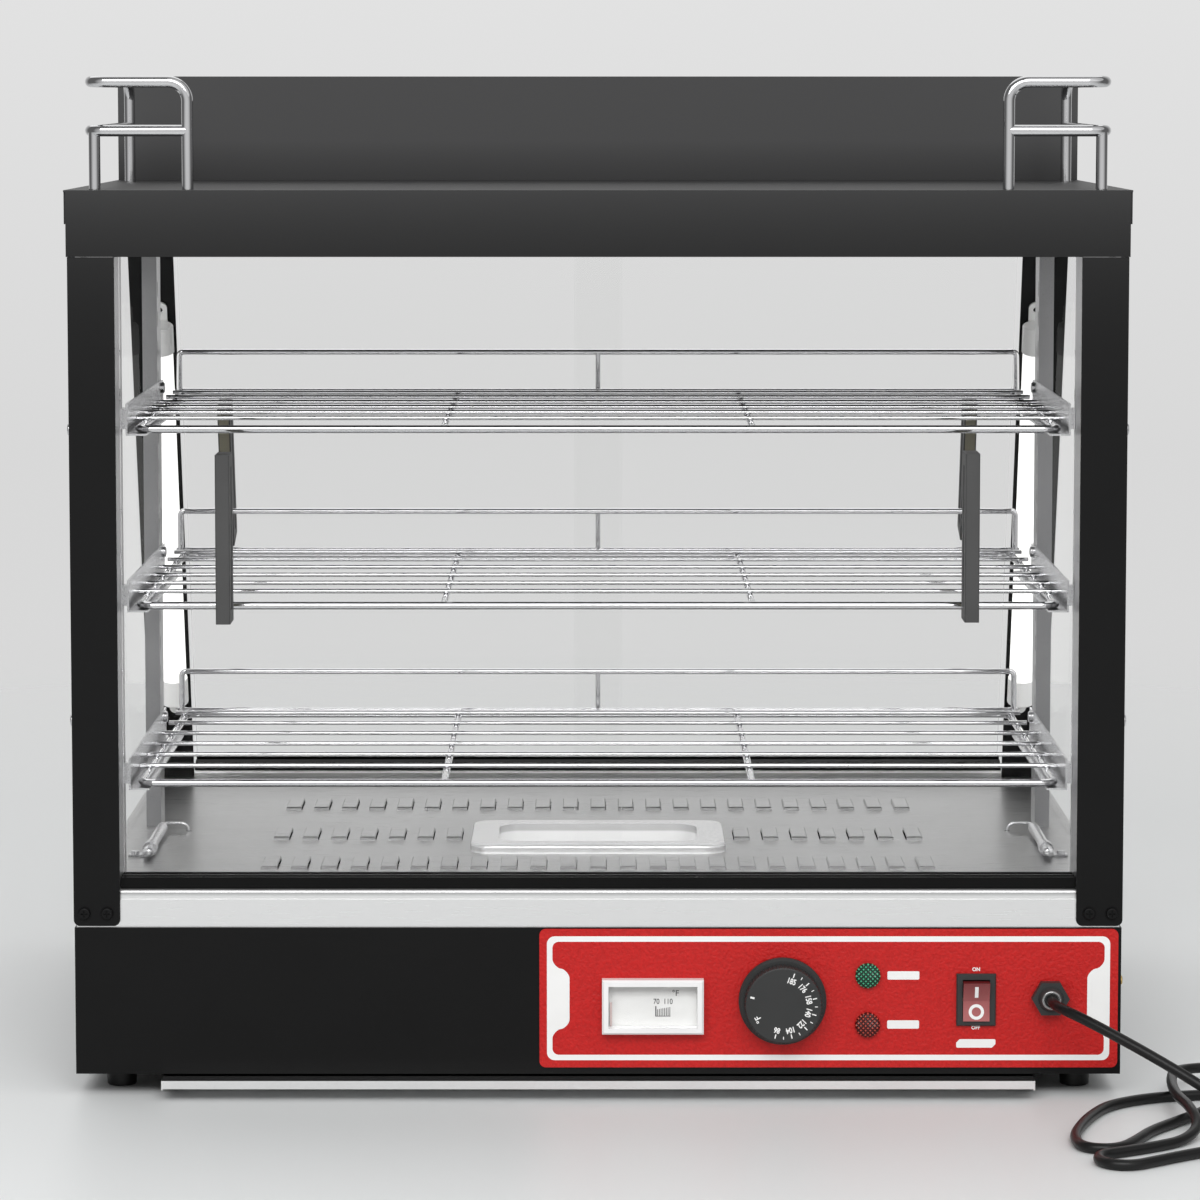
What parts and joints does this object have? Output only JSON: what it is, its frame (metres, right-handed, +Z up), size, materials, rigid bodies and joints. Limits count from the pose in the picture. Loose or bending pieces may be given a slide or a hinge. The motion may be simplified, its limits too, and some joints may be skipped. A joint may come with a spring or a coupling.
{
  "type": "countertop food warmer",
  "caption": "Glazed countertop food warmer with a louvred heated floor, wire shelves, sliding glass doors front and back, a red control panel and a railed top.",
  "frame": {"origin": "middle of the footprint, on the counter", "axes": "+X to the right as the operator sees the front, +Y to the back, +Z up"},
  "size_m": [0.8476, 0.6793, 0.6392],
  "materials": {
    "black_coat": "satin powder coat, near black",
    "red_panel": "red panel with a fine leather grain",
    "stainless": "bright stainless sheet",
    "chrome": "chrome plated wire and tube",
    "glass": "clear toughened glass",
    "handle_grey": "dark grey moulding",
    "black_plastic": "black moulding",
    "black_rubber": "black rubber",
    "lamp_white": "white diffuser",
    "cap_grey": "pale grey moulding",
    "dial_white": "white printed dial",
    "case_silver": "silver frame",
    "clear_window": "clear window",
    "pointer_red": "red pointer",
    "green_lens": "green lens",
    "red_lens": "red lens",
    "rocker_red": "dark red rocker",
    "brass": "brass",
    "heater_steel": "dark heater sheath",
    "ceramic": "pale insulator"
  },
  "bodies": {
    "cabinet": {"base_housing": "black_coat", "base_plate": "black_coat", "front_post_right": "black_coat", "front_post_left": "black_coat", "back_post_right": "black_coat", "back_post_left": "black_coat", "top_box": "black_coat", "ceiling_plate": "black_coat", "top_cover": "black_coat", "dark_screws": "black_coat", "control_panel": "red_panel", "floor_pan": "stainless", "front_uprights": "stainless", "shelf_standards": "stainless", "shelf_supports_bottom": "stainless", "shelf_supports_middle": "stainless", "shelf_supports_top": "stainless", "sensor_bulbs": "stainless", "sensor_clips": "stainless", "bright_screws": "stainless", "heater_saddles": "stainless", "guard_rail_right": "chrome", "guard_rail_left": "chrome", "shelf_bottom": "chrome", "shelf_middle": "chrome", "shelf_top": "chrome", "side_panes": "glass", "front_tracks": "black_plastic", "back_tracks": "black_plastic", "thermostat_body": "black_plastic", "switch_body": "black_plastic", "cable_gland": "black_plastic", "plug_body": "black_plastic", "feet": "black_rubber", "power_cord": "black_rubber", "light_tubes": "lamp_white", "light_caps": "cap_grey", "thermometer_dial": "dial_white", "thermometer_case": "case_silver", "thermometer_lens": "clear_window", "power_lamp": "green_lens", "heating_lamp": "red_lens", "earth_screw": "brass", "plug_blades": "brass", "heating_elements": "heater_steel", "terminal_block": "ceramic"},
    "front_left_door": {"front_door_left": "glass", "front_handle_left": "handle_grey"},
    "front_right_door": {"front_door_right": "glass", "front_handle_right": "handle_grey"},
    "back_left_door": {"back_door_left": "glass", "back_handle_left": "handle_grey"},
    "back_right_door": {"back_door_right": "glass", "back_handle_right": "handle_grey"},
    "pull_out_tray": {"crumb_tray": "stainless"},
    "lift_out_pan": {"water_pan": "stainless"},
    "knob": {"thermostat_knob": "black_plastic", "thermostat_shaft": "stainless"},
    "rocker": {"switch_rocker": "rocker_red"},
    "pointer": {"thermometer_pointer": "pointer_red"}
  },
  "joints": [
    {"name": "front_left_door_slide", "type": "slide", "parent": "cabinet", "child": "front_left_door", "axis": [1, 0, 0], "range_m": [0, 0.205]},
    {"name": "front_right_door_slide", "type": "slide", "parent": "cabinet", "child": "front_right_door", "axis": [1, 0, 0], "range_m": [-0.205, 0]},
    {"name": "back_left_door_slide", "type": "slide", "parent": "cabinet", "child": "back_left_door", "axis": [1, 0, 0], "range_m": [0, 0.205]},
    {"name": "back_right_door_slide", "type": "slide", "parent": "cabinet", "child": "back_right_door", "axis": [1, 0, 0], "range_m": [-0.205, 0]},
    {"name": "crumb_tray_slide", "type": "slide", "parent": "cabinet", "child": "pull_out_tray", "axis": [0, -1, 0], "range_m": [0, 0.3]},
    {"name": "water_pan_lift", "type": "slide", "parent": "cabinet", "child": "lift_out_pan", "axis": [0, 0, 1], "range_m": [0, 0.045]},
    {"name": "knob_turn", "type": "hinge", "parent": "cabinet", "child": "knob", "pos_m": [0.1156, -0.24035, 0.0611], "axis": [0, 1, 0], "range_deg": [0, 257]},
    {"name": "rocker_tilt", "type": "hinge", "parent": "cabinet", "child": "rocker", "pos_m": [0.237, -0.23155, 0.0616], "axis": [1, 0, 0], "range_deg": [-18, 0]},
    {"name": "pointer_slide", "type": "slide", "parent": "cabinet", "child": "pointer", "axis": [1, 0, 0], "range_m": [0, 0.04]}
  ]
}
